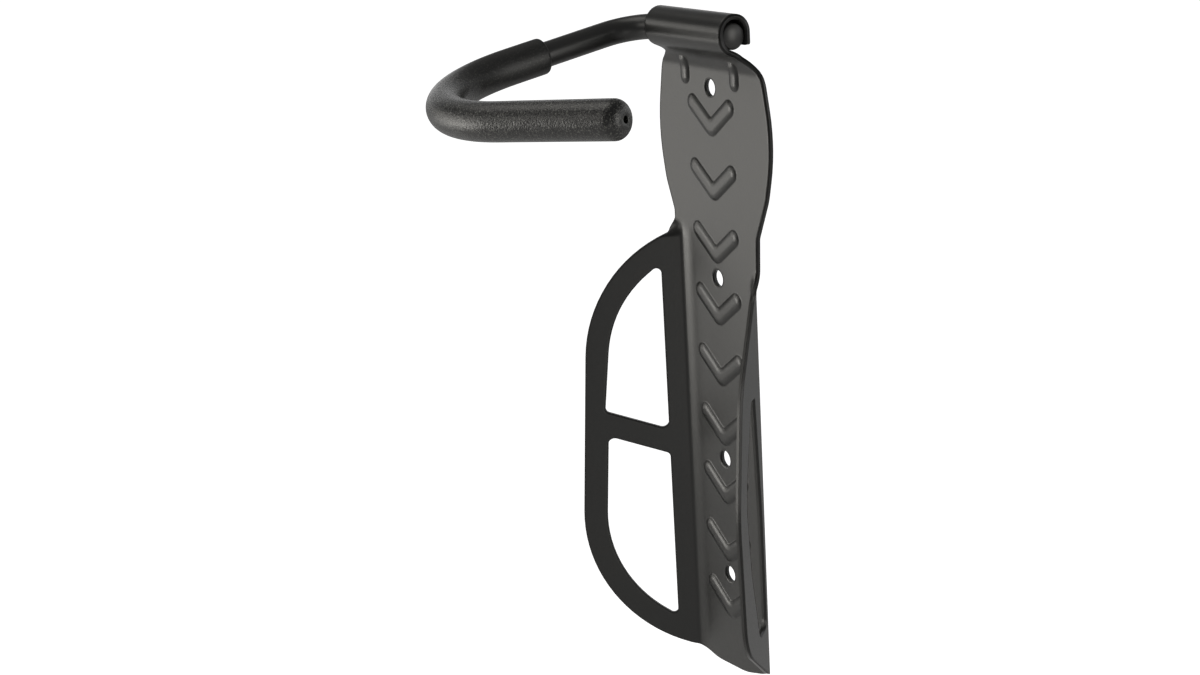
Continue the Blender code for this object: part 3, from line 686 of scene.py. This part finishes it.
def make_foam():
    """Black moulded foam: dull and even on the leg, shinier where it is stretched. There its colour has pale
    dots of painted glint on the grain.

    It is stretched round the bend and along the tip. The real grain is about 0.3 mm, too fine to show, so it
    is drawn at about twice that.
    """
    material, shader, place = start_material("black_foam")
    links = material.node_tree.links
    parts = add_node(material, "ShaderNodeSeparateXYZ", {"Vector": place})
    past_leg = add_node(material, "ShaderNodeMapRange", {
        "Value": parts.outputs["X"], "From Min": -40.0 * MM, "From Max": -25.0 * MM})
    round_bend = add_node(material, "ShaderNodeMapRange", {
        "Value": parts.outputs["Y"], "From Min": -76.0 * MM, "From Max": -96.0 * MM})
    stretch = add_node(material, "ShaderNodeMath", {
        0: past_leg.outputs["Result"], 1: round_bend.outputs["Result"]}, operation="MAXIMUM")
    grain = add_node(material, "ShaderNodeTexNoise", {
        "Vector": place, "Scale": per_metre(0.7), "Detail": 2.0, "Roughness": 0.7})
    # Pale dots on the grain of the stretched skin: painted glints in the colour, not the foam's own colour.
    painted_glint_specks = add_node(material, "ShaderNodeMapRange", {
        "Value": grain.outputs["Fac"], "From Min": 0.54, "From Max": 0.66})
    painted_glints = add_node(material, "ShaderNodeMath", {
        0: painted_glint_specks.outputs["Result"], 1: stretch.outputs[0]}, operation="MULTIPLY")
    cloud = add_node(material, "ShaderNodeTexNoise", {
        "Vector": place, "Scale": per_metre(9.0), "Detail": 3.0})
    skin = add_node(material, "ShaderNodeMix", {
        "Factor": cloud.outputs["Fac"], "A": linear("#0f0f0e"), "B": linear("#161615")}, data_type="RGBA")
    # The pale colour of the painted glints, mixed into the skin's colour.
    colour = add_node(material, "ShaderNodeMix", {
        "Factor": painted_glints.outputs[0], "A": skin.outputs["Result"], "B": linear("#4e4e4a")}, data_type="RGBA")
    rough = add_node(material, "ShaderNodeMapRange", {
        "Value": stretch.outputs[0], "To Min": 0.55, "To Max": 0.27})
    depth = add_node(material, "ShaderNodeMapRange", {
        "Value": stretch.outputs[0], "To Min": 0.15, "To Max": 0.6})
    bump = add_node(material, "ShaderNodeBump", {
        "Height": grain.outputs["Fac"], "Strength": depth.outputs["Result"], "Distance": 0.3 * MM})
    links.new(colour.outputs["Result"], shader.inputs["Base Color"])
    links.new(rough.outputs["Result"], shader.inputs["Roughness"])
    links.new(bump.outputs["Normal"], shader.inputs["Normal"])
    shader.inputs["IOR"].default_value = 1.5
    return material


def mould_sleeve(material):
    """One closed skin: over the outside to the tip, in through the vent, and back along the bore."""
    work = bmesh.new()
    leg_start = Vector((EYE_HALF_LENGTH - ROD_END_RECESS - EYE_RUN - LEG_BEND_RADIUS, -LEG_BEND_RADIUS, 0.0))
    sleeve = Bender(work, Vector((0.0, 0.0, 0.0)), SLEEVE_BORE_RADIUS)
    bmesh.ops.rotate(work, verts=work.verts[:], matrix=Matrix.Rotation(math.radians(90.0), 3, "Z"))
    sleeve.heading = Vector((0.0, -1.0, 0.0))
    mouth = leg_start + sleeve.heading * (SLEEVE_START + SLEEVE_MOUTH_ROUND)
    bmesh.ops.translate(work, verts=work.verts[:], vec=mouth)
    sleeve.place = mouth
    flat_of_mouth = SLEEVE_RADIUS - SLEEVE_MOUTH_ROUND
    sleeve.feed(-SLEEVE_MOUTH_ROUND, SLEEVE_BORE_RADIUS + SLEEVE_MOUTH_CHAMFER)
    sleeve.feed(0.0, flat_of_mouth)
    round_over(sleeve, SLEEVE_MOUTH_ROUND, -90.0, 0.0, flat_of_mouth, 5)
    leg = LEG_LENGTH - SLEEVE_START - SLEEVE_MOUTH_ROUND
    for _ in range(LEG_RINGS):
        sleeve.feed(leg / LEG_RINGS)
    sleeve.bend(HOOK_BEND_RADIUS, HOOK_BEND_TURN)
    tip = TIP_LENGTH + SLEEVE_END_WALL - SLEEVE_TIP_ROUND
    for _ in range(TIP_RINGS):
        sleeve.feed(tip / TIP_RINGS)
    round_over(sleeve, SLEEVE_TIP_ROUND, 0.0, 90.0, SLEEVE_RADIUS - SLEEVE_TIP_ROUND, 9)
    sleeve.feed(0.0, VENT_RADIUS + VENT_ROUND)
    round_over(sleeve, VENT_ROUND, 90.0, 0.0, VENT_RADIUS, 2)
    sleeve.feed(-(SLEEVE_END_WALL - SLEEVE_CLEARANCE - VENT_ROUND), VENT_RADIUS)
    sleeve.feed(0.0, SLEEVE_BORE_RADIUS)
    sleeve.feed(-(TIP_LENGTH + SLEEVE_CLEARANCE))
    sleeve.bend(-HOOK_BEND_RADIUS, -HOOK_BEND_TURN)
    sleeve.feed(-leg)
    hang_hook(work)
    return finish_mesh("foam_sleeve", work, material)


sleeve = mould_sleeve(make_foam())
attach(sleeve, "hook")
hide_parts("grip_sleeve")

# -------------------------------------------------------------------------------------------------- Stop pin
# A short plain steel pin pressed crosswise into the rod. It moves in the notch of the eye's free edge, so the
# rod can't slide out and the hook stops level.

PIN_ROOT = 1.0
PIN_TIP_RECESS = 0.45
PIN_SIDES = 32
PIN_EDGE_ROUND = 0.3


def make_pin_steel():
    """Bright steel as drawn: grey metal with a fine grain and a slightly uneven shine."""
    material, shader, place = start_material("plain_pin_steel")
    links = material.node_tree.links
    grain = add_node(material, "ShaderNodeTexNoise", {
        "Vector": place, "Scale": per_metre(0.5), "Detail": 3.0})
    rough = add_node(material, "ShaderNodeMapRange", {
        "Value": grain.outputs["Fac"], "From Min": 0.3, "From Max": 0.7, "To Min": 0.25, "To Max": 0.42})
    bump = add_node(material, "ShaderNodeBump", {
        "Height": grain.outputs["Fac"], "Strength": 0.2, "Distance": 0.02 * MM})
    shader.inputs["Base Color"].default_value = linear("#a5a5a6")
    shader.inputs["Metallic"].default_value = 1.0
    links.new(rough.outputs["Result"], shader.inputs["Roughness"])
    links.new(bump.outputs["Normal"], shader.inputs["Normal"])
    return material


def cut_pin(material):
    """A short round bar with rounded rims, standing out of the rod at the angle it has at rest."""
    work = bmesh.new()
    angle = math.radians(PIN_REST_ANGLE)
    along = Vector((0.0, -math.cos(angle), math.sin(angle)))
    tip = EYE_OUTER_RADIUS - PIN_TIP_RECESS
    middle = Vector((0.0, ROD_AXIS_Y, ROD_AXIS_Z)) + along * (PIN_ROOT + tip) / 2
    place = Matrix.Translation(middle) @ along.to_track_quat("Z", "X").to_matrix().to_4x4()
    radius = PIN_DIAMETER / 2
    bmesh.ops.create_cone(work, cap_ends=True, segments=PIN_SIDES, radius1=radius, radius2=radius,
                          depth=tip - PIN_ROOT, matrix=Matrix.Scale(MM, 4) @ place)
    rims = [edge for edge in work.edges if abs((edge.verts[0].co - edge.verts[1].co).dot(along)) < 0.1 * MM]
    bmesh.ops.bevel(work, geom=rims, offset=PIN_EDGE_ROUND * MM, offset_type="OFFSET", affect="EDGES",
                    segments=3, profile=0.5, material=-1)
    return finish_mesh("steel_stop_pin", work, material)


pin = cut_pin(make_pin_steel())
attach(pin, "hook")
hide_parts("stop_pin")

# ---------------------------------------------------------------------------------------------------- Studio
# A pale floor and a white background, soft light from windows in front on the left, on the right and above, a
# weak fill from near the camera, and a plain grey room. Shiny pieces see white only behind the wall.

FLOOR_DROP = 0.45
FLOOR_GLOW = 0.8
FLOOR_SHINE = 0.05
ROOM_LIGHT = 0.5
ROOM_SHINE = 0.16
WHITE = (1.0, 1.0, 1.0, 1.0)
WINDOW_TINT = (1.0, 0.975, 0.92)
WATTS_PER_LEVEL = 4.0
WINDOW_DISTANCE = 1.5


def sees_background(owner):
    """Two outputs: 1 for a ray from the camera, and 1 for one off a shiny or through a clear surface."""
    rays = add_node(owner, "ShaderNodeLightPath")
    shiny = add_node(owner, "ShaderNodeMath", {
        0: rays.outputs["Is Glossy Ray"], 1: rays.outputs["Is Transmission Ray"]}, operation="MAXIMUM")
    return rays.outputs["Is Camera Ray"], shiny.outputs[0]


def make_floor():
    """A wide matt floor below the hanger. It glows for the camera, so that it is white but for the shadow."""
    material = bpy.data.materials.new("pale_floor")
    material.use_nodes = True
    shader = material.node_tree.nodes["Principled BSDF"]
    shader.inputs["Base Color"].default_value = linear("#c6c6c6")
    shader.inputs["Roughness"].default_value = 0.9
    camera_ray, shiny_ray = sees_background(material)
    shine = add_node(material, "ShaderNodeMath", {0: shiny_ray, 1: FLOOR_SHINE}, operation="MULTIPLY")
    glow = add_node(material, "ShaderNodeMix", {"Factor": camera_ray, "A": shine.outputs[0], "B": FLOOR_GLOW})
    material.node_tree.links.new(glow.outputs["Result"], shader.inputs["Emission Strength"])
    shader.inputs["Emission Color"].default_value = WHITE
    work = bmesh.new()
    place = Matrix.Translation((0.0, 0.0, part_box("back_plate")[0].z - FLOOR_DROP))
    bmesh.ops.create_grid(work, x_segments=1, y_segments=1, size=12.0, matrix=place)
    return finish_mesh("floor", work, material)


def make_world():
    """White for the camera, grey for the light on the object; shiny pieces see white behind the wall."""
    world = bpy.data.worlds.new("studio")
    world.use_nodes = True
    camera_ray, shiny_ray = sees_background(world)
    way = add_node(world, "ShaderNodeTexCoord")
    parts = add_node(world, "ShaderNodeSeparateXYZ", {"Vector": way.outputs["Generated"]})
    behind = add_node(world, "ShaderNodeMapRange", {
        "Value": parts.outputs["Y"], "From Min": -0.1, "From Max": 0.25}, interpolation_type="SMOOTHSTEP")
    low = add_node(world, "ShaderNodeMapRange", {
        "Value": parts.outputs["Z"], "From Min": 0.45, "From Max": 0.15}, interpolation_type="SMOOTHSTEP")
    sheet = add_node(world, "ShaderNodeMath", {
        0: behind.outputs["Result"], 1: low.outputs["Result"]}, operation="MULTIPLY")
    shine = add_node(world, "ShaderNodeMapRange", {
        "Value": sheet.outputs[0], "To Min": ROOM_SHINE, "To Max": 1.0})
    light = add_node(world, "ShaderNodeMix", {
        "Factor": shiny_ray, "A": ROOM_LIGHT, "B": shine.outputs["Result"]})
    level = add_node(world, "ShaderNodeMix", {"Factor": camera_ray, "A": light.outputs["Result"], "B": 1.0})
    background = world.node_tree.nodes["Background"]
    background.inputs["Color"].default_value = WHITE
    world.node_tree.links.new(level.outputs["Result"], background.inputs["Strength"])
    return world


def add_softbox(name, azimuth, elevation, size, level):
    """An area lamp that faces the hanger's middle; its level is how bright it looks, 1 being white."""
    lamp = bpy.data.lights.new(name, "AREA")
    lamp.shape = "RECTANGLE"
    lamp.size, lamp.size_y = size
    lamp.energy = level * WATTS_PER_LEVEL * size[0] * size[1]
    lamp.color = WINDOW_TINT
    item = bpy.data.objects.new(name, lamp)
    across = turn(azimuth) * math.cos(math.radians(elevation))
    direction = Vector((across.x, across.y, math.sin(math.radians(elevation))))
    item.location = direction * WINDOW_DISTANCE
    item.rotation_euler = direction.to_track_quat("Z", "Y").to_euler()
    bpy.context.scene.collection.objects.link(item)


make_floor()
bpy.context.scene.world = make_world()
add_softbox("left_window", 221.0, 1.0, (1.05, 1.0), 1.4)
add_softbox("bright_pane", 239.0, -5.0, (0.5, 0.5), 5.5)
add_softbox("upper_window", 254.0, 22.0, (0.6, 0.45), 1.6)
add_softbox("front_fill", 323.0, -12.0, (0.55, 0.6), 0.9)
add_softbox("top_light", 215.0, 62.0, (0.9, 0.9), 1.4)
add_softbox("right_light", 27.0, 5.0, (0.8, 1.0), 1.7)

# ---------------------------------------------------------------------------------------------------- Camera
# The photograph's own viewing angle: from the right, a little above, turned slightly clockwise.

CAMERA_PLACE = (599.9, -414.8, 214.7)
CAMERA_AZIMUTH = 59.195
CAMERA_ELEVATION = 16.179
CAMERA_ROLL = 3.445
LENS = 57.588
SENSOR_WIDTH = 36.0
CLIP_START = 0.01

azimuth, elevation = math.radians(CAMERA_AZIMUTH), math.radians(CAMERA_ELEVATION)
back = Vector((math.sin(azimuth) * math.cos(elevation), -math.cos(azimuth) * math.cos(elevation),
               math.sin(elevation)))
right = Vector((math.cos(azimuth), math.sin(azimuth), 0.0))
axes = Matrix((right, back.cross(right), back)).transposed()
camera = bpy.data.cameras.new("camera")
camera.lens = LENS
camera.sensor_width = SENSOR_WIDTH
camera.clip_start = CLIP_START
camera_object = bpy.data.objects.new("camera", camera)
camera_object.matrix_world = (Matrix.Translation(Vector(CAMERA_PLACE) * MM)
                              @ (axes @ Matrix.Rotation(math.radians(-CAMERA_ROLL), 3, "Z")).to_4x4())
bpy.context.scene.collection.objects.link(camera_object)
bpy.context.scene.camera = camera_object
bpy.context.scene.view_settings.view_transform = "Standard"
